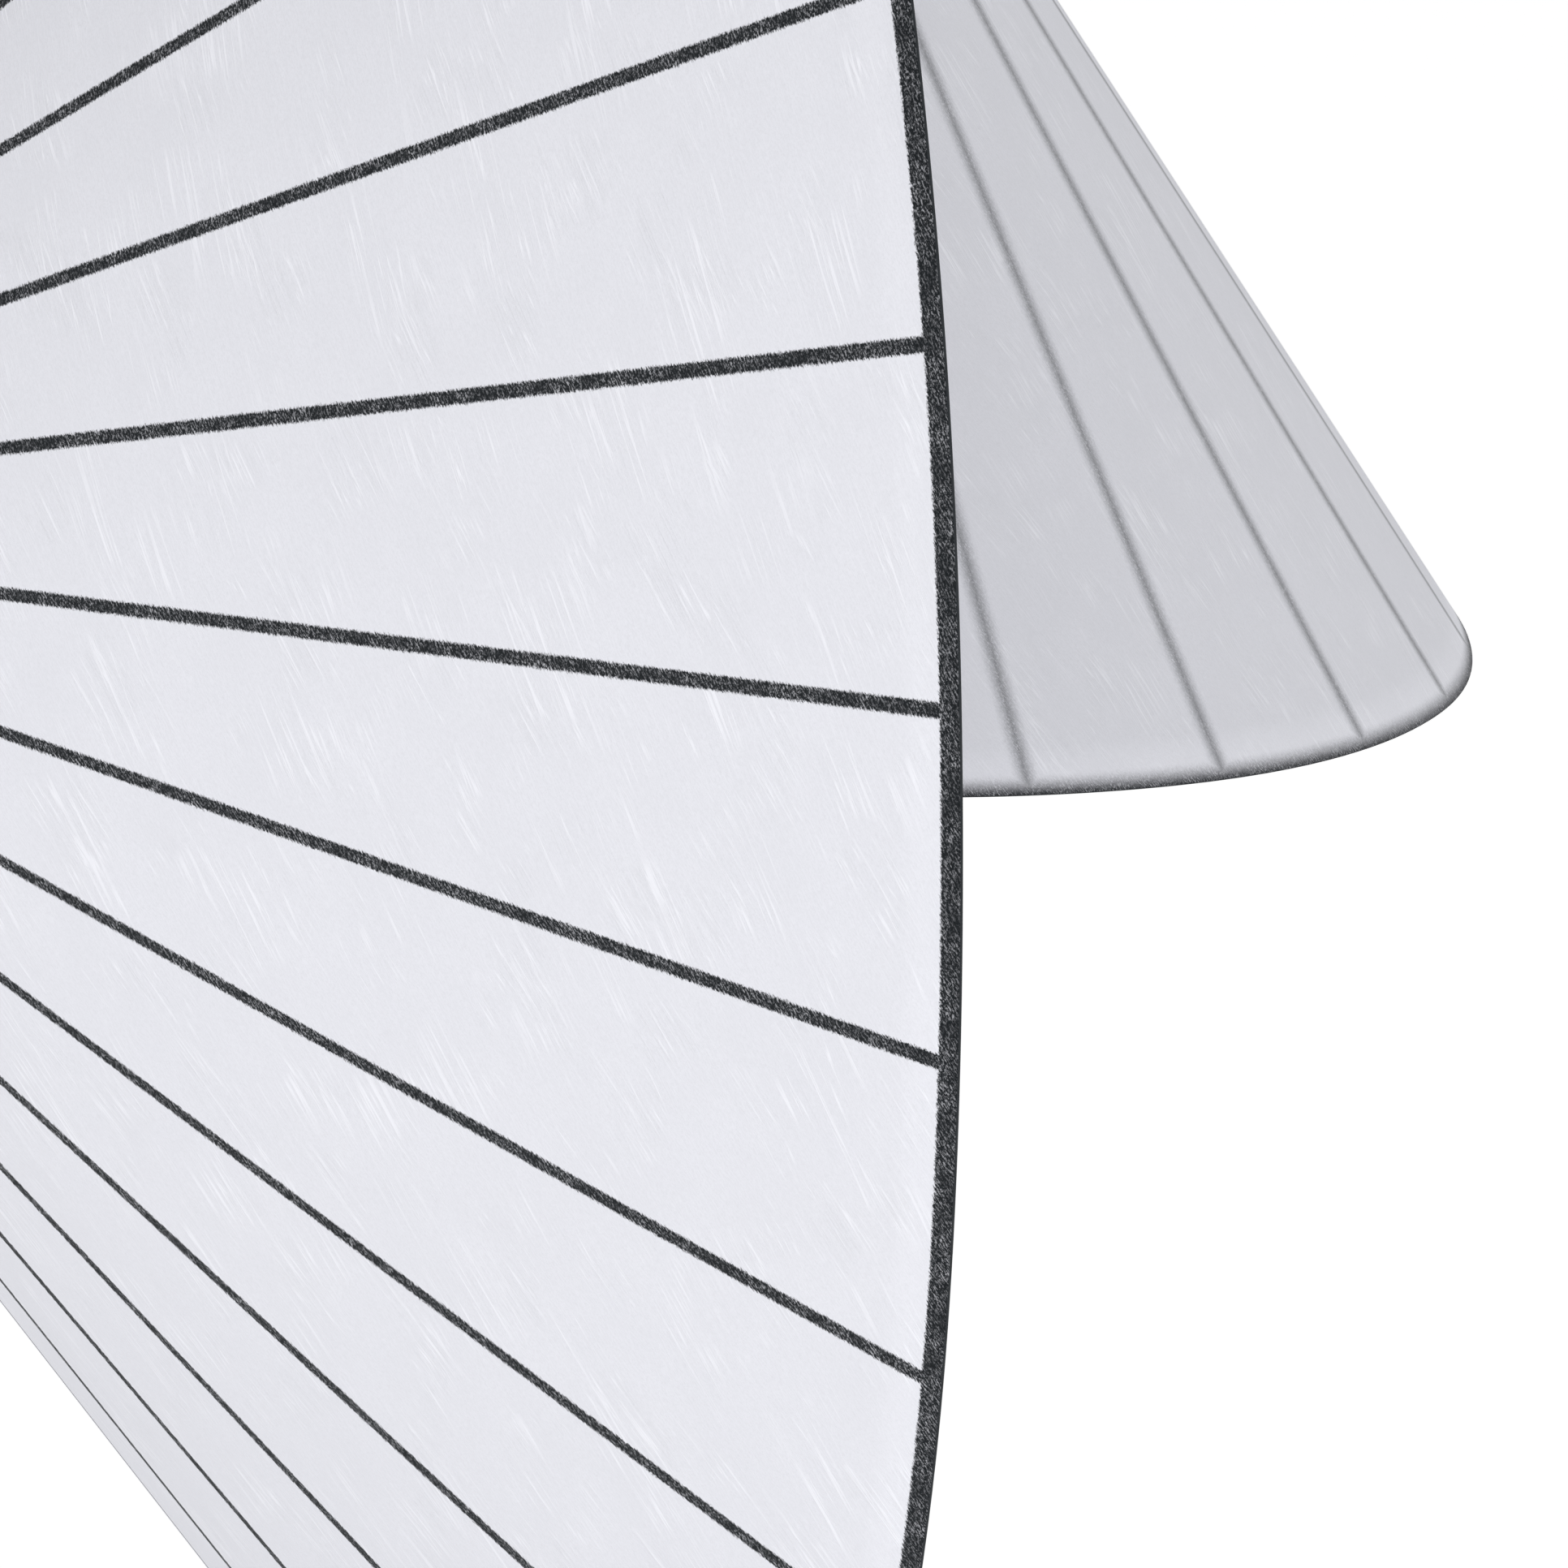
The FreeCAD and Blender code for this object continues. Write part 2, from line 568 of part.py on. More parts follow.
def aim(pieces, pivot_x, pivot_drop, yaw, tilt, suffix):
    """Tilts and turns pieces made hanging under the pivot, and lowers them into place."""
    placed = {}
    for name, shape in pieces.items():
        shape.rotate(V(0, 0, 0), V(1, 0, 0), tilt)
        shape.rotate(V(0, 0, 0), V(0, 0, 1), yaw)
        shape.translate(V(pivot_x, 0, -BAR_DROP - pivot_drop))
        placed[name + "_" + suffix] = shape
    return placed


def arm(gores, seam_deg, pivot_x, pivot_drop, yaw, tilt, suffix):
    """Everything that hangs from one end of the crossbar."""
    knuckle_parts = knuckle()
    turning = lampholder()
    turning.update(bulb())
    turning.update(shade(gores, seam_deg))
    turning["apex_cup"] = apex_cup(gores)
    turning["shade_ring"] = shade_ring(gores)
    turning["tongue"] = knuckle_parts.pop("tongue")
    made = aim(drop(), pivot_x, pivot_drop, 0, 0, suffix)
    made.update(aim(knuckle_parts, pivot_x, pivot_drop, yaw, 0, suffix))
    made.update(aim(turning, pivot_x, pivot_drop, yaw, tilt, suffix))
    return made


nodes = {}
nodes.update(ceiling())
nodes.update(canopy())
nodes.update(crossbar())
nodes.update(arm(WIDE_GORES, WIDE_SEAM_DEG, WIDE_ARM, WIDE_PIVOT_DROP, WIDE_YAW, WIDE_TILT, "wide"))
nodes.update(arm(NARROW_GORES, NARROW_SEAM_DEG, -NARROW_ARM, NARROW_PIVOT_DROP, 0, 0, "narrow"))

os.makedirs("parts", exist_ok=True)
for name, shape in nodes.items():
    shape.exportStep("parts/" + name + ".step")
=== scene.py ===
"""The pendant lantern's looks: rolled printed sheets, fittings, finishes, room and camera."""
import json
import math

import bmesh
import bpy
from bpy.props import FloatProperty, FloatVectorProperty, IntProperty, PointerProperty
from mathutils import Matrix, Vector


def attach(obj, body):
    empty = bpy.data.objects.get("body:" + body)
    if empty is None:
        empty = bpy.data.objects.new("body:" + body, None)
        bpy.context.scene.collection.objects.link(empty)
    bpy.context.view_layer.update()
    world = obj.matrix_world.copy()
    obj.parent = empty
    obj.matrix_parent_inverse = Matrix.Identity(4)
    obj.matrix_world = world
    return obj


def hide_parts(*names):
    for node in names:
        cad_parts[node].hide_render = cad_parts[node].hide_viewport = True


bl_info = {
    "name": "Pendant Lantern",
    "version": (1, 0, 0),
    "blender": (4, 5, 0),
    "location": "3D View > Sidebar > Lantern",
    "description": "Makes the sheets, fittings and room of a pendant lantern around its frame",
    "category": "Object",
}

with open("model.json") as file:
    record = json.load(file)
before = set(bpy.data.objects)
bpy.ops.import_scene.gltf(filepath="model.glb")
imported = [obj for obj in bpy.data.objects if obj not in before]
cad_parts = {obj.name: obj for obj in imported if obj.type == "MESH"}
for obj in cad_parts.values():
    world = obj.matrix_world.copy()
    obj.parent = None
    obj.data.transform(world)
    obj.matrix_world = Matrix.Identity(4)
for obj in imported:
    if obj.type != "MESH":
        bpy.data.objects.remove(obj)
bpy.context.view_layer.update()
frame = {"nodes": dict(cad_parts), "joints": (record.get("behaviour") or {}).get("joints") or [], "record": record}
JOINTS = {joint["name"]: joint for joint in frame["joints"]}
MM = 0.001
NEAR = 1e-6
SHADES = ("wide", "narrow")

# Sheets: rows of faces from the hole to the lap and from there to the hem, steps round a degree,
# strips in half a lap, and how far the lap stands off and how wide the rise to it is
LAP_ROWS, HEM_ROWS = 4, 24
STEPS_PER_DEGREE = 1.2
TAB_STRIPS = 2
LAP_AIR = 0.05 * MM
LAP_RAMP = 12 * MM
# The hem's ripple: waves in a full turn, share of its height and phase of each, and how it fades
RIPPLES = ((5, 1.0, 1.0), (11, 0.5, 2.0))
RIPPLE_FADE = 4

# Print: whole gores added so that every bearing is above 0, and how far fibres feather an edge
GORE_SHIFT = 64
FEATHER = 1.9 * MM
# Shares of the sheet's own colour in its clouds, threads and flecks; of the ink's, a painted sheen along its mesh
CLOUD_TONE, THREAD_TONE, FLECK_TONE = 0.965, 1.09, 0.90
PAINTED_INK_SHEEN = 1.9
CUT_EDGE_TONE = 3.0

# Globes: the neck's radius and length, where the round part ends in degrees, how far in and up
# the curve from there to the neck is pulled, and the steps of both
NECK = 13 * MM
NECK_LENGTH = 12 * MM
ROUND_END = 53
CURVE_IN, CURVE_UP = 6.6 * MM, 5.4 * MM
ROUND_STEPS, CURVE_STEPS = 40, 14

# Fittings: how far the edges of each are rounded over
ROUNDED = {
    "fork": 0.8 * MM, "tongue": 0.7 * MM, "end_block": 1.0 * MM, "hub_body": 1.0 * MM,
    "hub_cap": 0.7 * MM, "stop_ring": 0.8 * MM, "wing_nut": 0.5 * MM, "pivot_bolt": 0.5 * MM,
    "canopy_collar": 0.7 * MM, "ceiling_strap": 0.5 * MM, "nipple_nut": 0.4 * MM,
    "terminal_block": 0.5 * MM,
}
ROUND_SEGMENTS = 2
SHARP_EDGE = math.radians(32)
FLAT_EDGE = math.radians(0.6)

# Stage: the camera's sensor in millimetres and far limit, the point both lights face, and the
# floor's glow near the middle, as a share of the far floor's, with the distances it rises between
SENSOR_WIDTH = 36
CLIP_END = 200
LIT_POINT = (0, 0, -0.7)
NEAR_GLOW = 0.13
GLOW_START, GLOW_END = 1.5, 2.5


def colour(name, description, default):
    """A colour property."""
    return FloatVectorProperty(
        name=name, description=description, default=default, size=3, subtype="COLOR", min=0, max=1
    )


def length(name, description, default):
    """A length property, in metres."""
    return FloatProperty(
        name=name, description=description, default=default, subtype="DISTANCE", unit="LENGTH", precision=5
    )


def angle(name, description, degrees):
    """An angle property, given in degrees."""
    return FloatProperty(
        name=name, description=description, default=math.radians(degrees), subtype="ANGLE", unit="ROTATION"
    )


class LanternSheetSettings(bpy.types.PropertyGroup):
    """The sheet that both shades are cut from, and its print."""

    slant: length("Slant", "From the cone's apex to its hem, along the sheet", 0.320)
    hole: length("Hole", "Radius of the hole round the lampholder", 0.0206)
    thickness: length("Thickness", "Thickness of the sheet", 0.00055)
    gore: angle("Gore", "Angle of the disc between two printed lines", 9)
    wide_gores: IntProperty(name="Wide gores", description="Gores in the wide shade", default=33)
    narrow_gores: IntProperty(name="Narrow gores", description="Gores in the narrow shade", default=26)
    wide_seam: angle("Wide seam", "Where the wide shade's lap is, round from its tilt pin", -97.3)
    narrow_seam: angle("Narrow seam", "Where the narrow shade's lap is, round from its tilt pin", -172.1)
    lap: length("Lap", "Width of the lap seam", 0.016)
    lap_start: length("Lap start", "Radius where the lap begins, below the cup", 0.049)
    ripple: length("Ripple", "Height of the hem's faint ripple", 0.0003)
    line_width: length("Line width", "Width of a printed line at the hem", 0.00225)
    line_taper: length("Line taper", "How much narrower a line would be at the apex", 0.0005)
    wide_hem: length("Wide hem", "Width of the wide shade's printed hem", 0.0035)
    narrow_hem: length("Narrow hem", "Width of the narrow shade's printed hem", 0.0020)
    fibre_turn: angle("Fibre turn", "The way the fibres lie on the flat sheet", -55.4)
    paper: colour("Paper", "Colour of the bare sheet", (0.862, 0.867, 0.923))
    ink: colour("Ink", "Colour of the print", (0.006, 0.008, 0.010))
    wide_soft: length("Wide softness", "Softness of the print's edges on the wide shade", 0.00022)
    narrow_soft: length("Narrow softness", "Softness of the print's edges on the narrow shade", 0.0024)
    wide_strength: FloatProperty(
        name="Wide strength", description="Strength of the wide shade's lines", default=1.0
    )
    narrow_strength: FloatProperty(
        name="Narrow strength", description="Strength of the narrow shade's lines", default=0.74
    )


class LanternFinishSettings(bpy.types.PropertyGroup):
    """Colours of the painted, moulded and bare metal pieces."""

    frame_paint: colour("Frame paint", "Powder coat of the stem, bar and drops", (0.030, 0.034, 0.037))
    moulding: colour("Moulding", "Lampholder plastic", (0.012, 0.012, 0.013))
    terminal: colour("Terminal", "Terminal block plastic", (0.68, 0.66, 0.60))
    steel: colour("Steel", "Bare steel", (0.52, 0.52, 0.53))
    zinc: colour("Zinc", "Zinc plate", (0.60, 0.62, 0.65))
    brass: colour("Brass", "Contact brass", (0.72, 0.53, 0.22))
    bulb_metal: colour("Bulb metal", "Screw shell of the bulbs", (0.72, 0.72, 0.73))
    opal: colour("Opal", "Opal glass of the bulbs", (0.90, 0.90, 0.875))


class LanternStageSettings(bpy.types.PropertyGroup):
    """The camera, the room and its light."""

    place: FloatVectorProperty(
        name="Place", description="Where the camera is", default=(1.5847, 0.8410, -0.3087), subtype="XYZ"
    )
    bearing: angle("Bearing", "The way the camera is seen from the lantern, round from the crossbar", 22.163)
    height: angle("Height", "How far the camera looks down", 14.376)
    roll: angle("Roll", "How far the camera leans", 7.877)
    lens: FloatProperty(name="Lens", description="Focal length on a 36 mm wide sensor", default=232.92)
    floor_drop: length("Floor", "How far the floor is below the ceiling", 1.6)
    floor_size: length("Floor size", "Side of the square floor", 60.0)
    floor_tone: colour("Floor tone", "Colour of the floor", (0.93, 0.93, 0.93))
    floor_glow: FloatProperty(name="Floor glow", description="Light the far floor gives off", default=0.48)
    sky: FloatProperty(name="Sky", description="Strength of the room's even light", default=0.56)
    key_place: FloatVectorProperty(
        name="Key place", description="Where the soft key light is", default=(3.0, 1.6, -0.3), subtype="XYZ"
    )
    key_power: FloatProperty(name="Key power", description="Power of the key light, in watts", default=24.5)
    fill_place: FloatVectorProperty(
        name="Fill place", description="Where the soft fill light is", default=(-2.9, 1.9, -0.1),
        subtype="XYZ",
    )
    fill_power: FloatProperty(name="Fill power", description="Power of the fill light, in watts", default=6.8)
    light_size: length("Light size", "Diameter of each soft light", 2.2)


def joint(name):
    """A joint's point and axis at rest."""
    found = JOINTS[name]
    return Vector(found["pos_m"]), Vector(found["axis"]).normalized()


def hanging(shade):
    """The matrix from a shade's own frame to the lantern's.

    In its own frame the apex is the origin, the shade opens down -Z and its tilt pin lies along X.
    """
    apex, axis = joint("shade_turn_" + shade)
    pin = joint("tilt_" + shade)[1]
    up = -axis
    side = up.cross(pin)
    placed = Matrix((pin, side, up)).transposed().to_4x4()
    placed.translation = apex
    return placed


def new_piece(name, mesh_maker, matrix=None):
    """An object from a function that fills a bmesh, placed in its mesh and smooth shaded."""
    shape = bmesh.new()
    mesh_maker(shape)
    if matrix is not None:
        shape.transform(matrix)
    mesh = bpy.data.meshes.new(name)
    shape.to_mesh(mesh)
    shape.free()
    mesh.shade_smooth()
    piece = bpy.data.objects.new(name, mesh)
    bpy.context.scene.collection.objects.link(piece)
    return piece


# --- Node helpers -----------------------------------------------------------------------------


class Tree:
    """Short calls that add shader nodes to one material."""

    def __init__(self, name):
        self.material = bpy.data.materials.new(name)
        self.material.use_nodes = True
        self.nodes = self.material.node_tree.nodes
        self.links = self.material.node_tree.links
        self.shader = self.nodes["Principled BSDF"]

    def add(self, kind, settings=None, **inputs):
        """A node, its settings and its inputs: values are set and sockets are linked."""
        node = self.nodes.new("ShaderNode" + kind)
        for key, value in (settings or {}).items():
            setattr(node, key, value)
        for key, value in inputs.items():
            self.feed(node.inputs[key.replace("_", " ")], value)
        return node

    def feed(self, socket, value):
        """Links a socket, or sets its value."""
        if isinstance(value, bpy.types.NodeSocket):
            self.links.new(value, socket)
        else:
            socket.default_value = value

    def math(self, operation, *values, clamp=False):
        """The result of a Math node."""
        node = self.nodes.new("ShaderNodeMath")
        node.operation = operation
        node.use_clamp = clamp
        for socket, value in zip(node.inputs, values):
            self.feed(socket, value)
        return node.outputs[0]

    def step(self, value, low, high, out_low=0.0, out_high=1.0):
        """A smooth step from out_low at low to out_high at high."""
        node = self.nodes.new("ShaderNodeMapRange")
        node.interpolation_type = "SMOOTHSTEP"
        for key, part in zip(("Value", "From Min", "From Max", "To Min", "To Max"),
                             (value, low, high, out_low, out_high)):
            self.feed(node.inputs[key], part)
        return node.outputs["Result"]

    def blend(self, share, first, second):
        """A mix of two colours."""
        node = self.nodes.new("ShaderNodeMix")
        node.data_type = "RGBA"
        self.feed(node.inputs["Factor"], share)
        for key, value in (("A", first), ("B", second)):
            socket = next(s for s in node.inputs if s.name == key and s.type == "RGBA")
            self.feed(socket, value if isinstance(value, bpy.types.NodeSocket) else (*value, 1))
        return next(s for s in node.outputs if s.type == "RGBA")

    def noise(self, vector, scale, detail=2.0, roughness=0.5):
        """A noise texture's value."""
        node = self.add("TexNoise", Vector=vector, Scale=scale, Detail=detail, Roughness=roughness)
        return node.outputs["Fac"]

    def stretched(self, vector, turn, along, across):
        """Coordinates turned by an angle, then scaled along and across."""
        turned = self.add("Mapping", Vector=vector, Rotation=(0, 0, turn)).outputs["Vector"]
        return self.add("Mapping", Vector=turned, Scale=(along, across, 1)).outputs["Vector"]

    def own(self):
        """The piece's own coordinates, in metres."""
        return self.nodes.new("ShaderNodeTexCoord").outputs["Object"]

    def surface(self, **values):
        """Feeds the Principled shader's sockets."""
        for key, value in values.items():
            socket = self.shader.inputs[key.replace("_", " ")]
            if isinstance(value, tuple) and len(value) == 3 and socket.type == "RGBA":
                value = (*value, 1)
            self.feed(socket, value)

    def bump(self, height, distance, strength=1.0):
        """Feeds a bump to the shader's normal."""
        node = self.add("Bump", Height=height, Distance=distance, Strength=strength)
        self.feed(self.shader.inputs["Normal"], node.outputs["Normal"])


# --- Finishes ---------------------------------------------------------------------------------


def toned(base, share, lift=0.0):
    """A colour made lighter or darker, no channel above 1."""
    return tuple(min(1.0, share * part + lift) for part in base)


def printed_sheet(name, sheet, sector, hem_width, soft, strength):
    """Long-fibre white sheet with printed lines and a printed hem, from its flat coordinates."""
    t = Tree(name)
    flat = t.add("UVMap", {"uv_map": "flat"}).outputs["UV"]
    apart = t.add("SeparateXYZ", Vector=flat).outputs
    across, along = apart["X"], apart["Y"]
    radius = t.math("SQRT", t.math("ADD", t.math("MULTIPLY", across, across),
                                   t.math("MULTIPLY", along, along)))
    bearing = t.math("ARCTAN2", along, across)

    # Fibres lie mostly one way: threads are the thin level lines of stretched noise
    lay = sheet.fibre_turn
    strands = t.noise(t.stretched(flat, lay, 150, 1500), 1.0, 3.0, 0.6)
    threads = None
    for turn, long_way, short_way, thin in ((0.05, 20, 900, 0.034), (-0.12, 34, 1300, 0.030)):
        level = t.noise(t.stretched(flat, lay + turn, long_way, short_way), 1.0, 1.5)
        ridge = t.step(t.math("ABSOLUTE", t.math("SUBTRACT", level, 0.5)), 0.0, thin, 1.0, 0.0)
        patch = t.step(t.noise(flat, 38 + long_way, 2.0), 0.47, 0.64)
        ridge = t.math("MULTIPLY", ridge, patch)
        threads = ridge if threads is None else t.math("MAXIMUM", threads, ridge)
    cloud = t.noise(flat, 55, 4.0, 0.6)
    hairs = t.noise(t.stretched(flat, lay - 0.1, 900, 3600), 1.0, 2.0, 0.75)
    mesh = t.noise(flat, 2600, 3.0, 0.75)
    weave = t.math("ADD", t.math("MULTIPLY", hairs, 0.55), t.math("MULTIPLY", mesh, 0.45))

    # Print: distance to the nearest line and to the hem, feathered by the fibres
    shift = sector / sheet.gore / 2 + GORE_SHIFT
    turn = t.math("FRACT", t.math("ADD", t.math("DIVIDE", bearing, sheet.gore), shift))
    aside = t.math("MULTIPLY", t.math("ABSOLUTE", t.math("SUBTRACT", turn, 0.5)), sheet.gore)
    aside = t.math("MULTIPLY", aside, radius)
    feather = t.math("MULTIPLY", t.math("SUBTRACT", weave, 0.5), FEATHER)
    narrowest = (sheet.line_width - sheet.line_taper) / 2
    half = t.math("ADD", t.math("MULTIPLY", radius, sheet.line_taper / sheet.slant / 2), narrowest)
    over = t.math("SUBTRACT", t.math("ADD", aside, feather), half)
    lines = t.step(over, -soft, soft, 1.0, 0.0)
    inset = t.math("ADD", t.math("SUBTRACT", sheet.slant, radius), feather)
    hem = t.step(inset, hem_width - soft, hem_width + soft, 1.0, 0.0)
    print_mask = t.math("MAXIMUM", t.math("MULTIPLY", lines, strength), hem)

    # Pale fibres show through the ink, more in some places than in others
    wear = t.step(t.noise(flat, 240, 2.0), 0.3, 0.7, 0.25, 1.0)
    flecks = t.math("MULTIPLY", t.step(weave, 0.48, 0.63, 0.0, 0.55), wear)
    inked = t.math("MULTIPLY", print_mask, t.math("SUBTRACT", 1.0, flecks))

    tone = t.math("ADD", t.math("MULTIPLY", cloud, 0.5), t.math("MULTIPLY", strands, 0.5))
    bare = t.blend(t.step(tone, 0.36, 0.64), toned(sheet.paper, CLOUD_TONE), sheet.paper)
    bare = t.blend(t.step(weave, 0.34, 0.60, 0.75, 0.0), bare, toned(sheet.paper, FLECK_TONE))
    bare = t.blend(threads, bare, toned(sheet.paper, THREAD_TONE))
    # The ink is lighter along the fine fibre mesh: a painted sheen, not the ink's own colour
    print_colour = t.blend(t.step(mesh, 0.35, 0.7), sheet.ink, toned(sheet.ink, PAINTED_INK_SHEEN))
    t.surface(Base_Color=t.blend(inked, bare, print_colour), Roughness=0.82,
              Specular_IOR_Level=0.18, Sheen_Weight=0.04, Sheen_Roughness=0.6)
    relief = t.math("ADD", t.math("MULTIPLY", strands, 0.5), t.math("MULTIPLY", threads, 0.5))
    relief = t.math("ADD", relief, t.math("MULTIPLY", weave, 0.35))
    t.bump(relief, 0.06 * MM)
    return t.material


def powder_coat(name, paint, roughness=0.5):
    """Satin powder coat with a fine orange-peel skin and paler, worn high spots."""
    t = Tree(name)
    here = t.own()
    peel = t.noise(here, 1400, 2.0, 0.55)
    dust = t.noise(here, 90, 4.0, 0.65)
    paler = toned(paint, 1.7, 0.006)
    t.surface(Base_Color=t.blend(t.step(dust, 0.45, 0.75), paint, paler), Specular_IOR_Level=0.45,
              Roughness=t.step(dust, 0.3, 0.75, roughness - 0.06, roughness + 0.1))
    t.bump(peel, 0.08 * MM)
    return t.material


def bare_metal(name, tint, roughness=0.3, lay=(1, 1, 30), scale=240):
    """Bare or plated metal with fine tool marks."""
    t = Tree(name)
    here = t.add("Mapping", Vector=t.own(), Scale=lay).outputs["Vector"]
    marks = t.noise(here, scale, 3.0, 0.6)
    stain = t.noise(t.own(), 70, 3.0, 0.6)
    t.surface(Base_Color=t.blend(t.step(stain, 0.35, 0.7), toned(tint, 0.82), tint), Metallic=1.0,
              Roughness=t.step(marks, 0.25, 0.75, roughness - 0.08, roughness + 0.14))
    t.bump(marks, 0.03 * MM)
    return t.material


def moulded(name, tint, roughness=0.45):
    """Moulded plastic with a fine spark-eroded grain."""
    t = Tree(name)
    grain = t.noise(t.own(), 2600, 3.0, 0.6)
    cloud = t.noise(t.own(), 60, 3.0, 0.6)
    t.surface(Base_Color=t.blend(t.step(cloud, 0.4, 0.75), tint, toned(tint, 1.5, 0.003)),
              Roughness=t.step(cloud, 0.3, 0.7, roughness - 0.05, roughness + 0.08))
    t.bump(grain, 0.04 * MM)
    return t.material


def opal_glass(name, tint):
    """Milky glass: a soft white body under a glossy skin."""
    t = Tree(name)
    cloud = t.noise(t.own(), 35, 3.0, 0.6)
    cooler = (0.97 * tint[0], 0.975 * tint[1], 0.99 * tint[2])
    t.surface(Base_Color=t.blend(t.step(cloud, 0.35, 0.7), tint, cooler),
              Roughness=t.step(cloud, 0.3, 0.7, 0.16, 0.24), Subsurface_Weight=0.2,
              Subsurface_Radius=(0.01, 0.01, 0.01), Subsurface_Scale=0.3,
              Coat_Weight=0.4, Coat_Roughness=0.08)
    return t.material


def dress(piece, material):
    """Puts a material in every slot of a piece."""
    slots = piece.data.materials
    if not slots:
        slots.append(material)
    for index in range(len(slots)):
        slots[index] = material


# --- Pieces -----------------------------------------------------------------------------------


def roll_up(shape, sheet, sector, seam):
    """Cuts a ring sector flat, with a tab at each end, and rolls it to a cone about -Z."""
    sine = sector / math.tau
    cosine = math.sqrt(1 - sine * sine)
    first = sheet.hole / sine
    lap_row = sheet.lap_start / sine
    rows = [first + (lap_row - first) * step / LAP_ROWS for step in range(LAP_ROWS)]
    rows += [lap_row + (sheet.slant - lap_row) * step / HEM_ROWS for step in range(HEM_ROWS + 1)]
    start = [shape.verts.new((row, 0, 0)) for row in rows]
    for near, far in zip(start, start[1:]):
        shape.edges.new((near, far))
    bmesh.ops.rotate(shape, verts=start, matrix=Matrix.Rotation(-sector / 2, 3, "Z"))
    bmesh.ops.spin(
        shape, geom=shape.verts[:] + shape.edges[:], axis=(0, 0, 1), cent=(0, 0, 0),
        angle=sector, steps=round(math.degrees(sector) * STEPS_PER_DEGREE), use_merge=False,
    )

    for end in (-1, 1):
        cut = end * sector / 2
        out = end * Vector((-math.sin(cut), math.cos(cut), 0))
        along = Vector((math.cos(cut), math.sin(cut), 0))
        edge = [
            e for e in shape.edges
            if all(abs(v.co.dot(out)) < NEAR and v.co.dot(along) > lap_row - NEAR for v in e.verts)
        ]
        for _ in range(TAB_STRIPS):
            grown = bmesh.ops.extrude_edge_only(shape, edges=edge)["geom"]
            moved = [item for item in grown if isinstance(item, bmesh.types.BMVert)]
            bmesh.ops.translate(shape, verts=moved, vec=out * sheet.lap / 2 / TAB_STRIPS)
            edge = [
                item for item in grown
                if isinstance(item, bmesh.types.BMEdge) and all(v in moved for v in item.verts)
            ]

    flat = shape.loops.layers.uv.new("flat")
    for face in shape.faces:
        for loop in face.loops:
            loop[flat].uv = loop.vert.co.xy

    lift = sheet.thickness + LAP_AIR
    for v in shape.verts:
        slant = v.co.xy.length
        bearing = math.atan2(v.co.y, v.co.x)
        to_seam = (sector / 2 - bearing) * slant
        raised = max(0.0, min(1.0, (sheet.lap / 2 + LAP_RAMP - to_seam) / LAP_RAMP))
        if slant < lap_row - NEAR:
            raised = 0.0
        proud = lift * raised * raised * (3 - 2 * raised)
        turn = bearing / sine + seam + math.pi
        wave = sum(share * math.sin(waves * turn + phase) for waves, share, phase in RIPPLES)
        proud += sheet.ripple * (slant / sheet.slant) ** RIPPLE_FADE * wave
        radius = slant * sine + proud * cosine
        v.co = (radius * math.cos(turn), radius * math.sin(turn), -slant * cosine + proud * sine)
    bmesh.ops.recalc_face_normals(shape, faces=shape.faces)


def rounded_copy(node, body, width, material):
    """A CAD piece again, with its sharp edges rounded over."""
    source = frame["nodes"][node]

    def make(shape):
        shape.from_mesh(source.data)
        bmesh.ops.remove_doubles(shape, verts=shape.verts, dist=NEAR)
        bmesh.ops.dissolve_limit(shape, angle_limit=FLAT_EDGE, verts=shape.verts, edges=shape.edges)
        bmesh.ops.recalc_face_normals(shape, faces=shape.faces)
        corners = [
            e for e in shape.edges
            if len(e.link_faces) == 2 and e.calc_face_angle(0) > SHARP_EDGE
        ]
        bmesh.ops.bevel(
            shape, geom=corners, offset=width, offset_type="OFFSET", segments=ROUND_SEGMENTS,
            profile=0.5, affect="EDGES", clamp_overlap=True, material=-1,
        )

    piece = new_piece(node + "_rounded", make)
    piece.data.materials.clear()
    dress(piece, material)
    soften = piece.modifiers.new("Even shading", "WEIGHTED_NORMAL")
    soften.keep_sharp = True
    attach(piece, body)
    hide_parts(node)


def spun(shape, outline, steps=96):
    """A closed solid of revolution about Z from (radius, height) points, both ends on the axis."""
    points = [shape.verts.new((radius, 0, height)) for radius, height in outline]
    for near, far in zip(points, points[1:]):
        shape.edges.new((near, far))
    bmesh.ops.spin(
        shape, geom=shape.verts[:] + shape.edges[:], axis=(0, 0, 1), cent=(0, 0, 0),
        angle=math.tau, steps=steps, use_merge=True,
    )
    bmesh.ops.remove_doubles(shape, verts=shape.verts, dist=NEAR)
    bmesh.ops.recalc_face_normals(shape, faces=shape.faces)


def arc(centre, radius, start, end, count):
    """Points round part of a circle, in degrees."""
    turns = [math.radians(start + (end - start) * step / count) for step in range(count + 1)]
    return [(centre[0] + radius * math.cos(t), centre[1] + radius * math.sin(t)) for t in turns]


def curve(start, pull, end, count):
    """Points along a quadratic curve, after its start."""
    return [
        tuple((1 - t) ** 2 * a + 2 * t * (1 - t) * b + t * t * c for a, b, c in zip(start, pull, end))
        for t in (step / count for step in range(1, count + 1))
    ]


# --- Operators --------------------------------------------------------------------------------


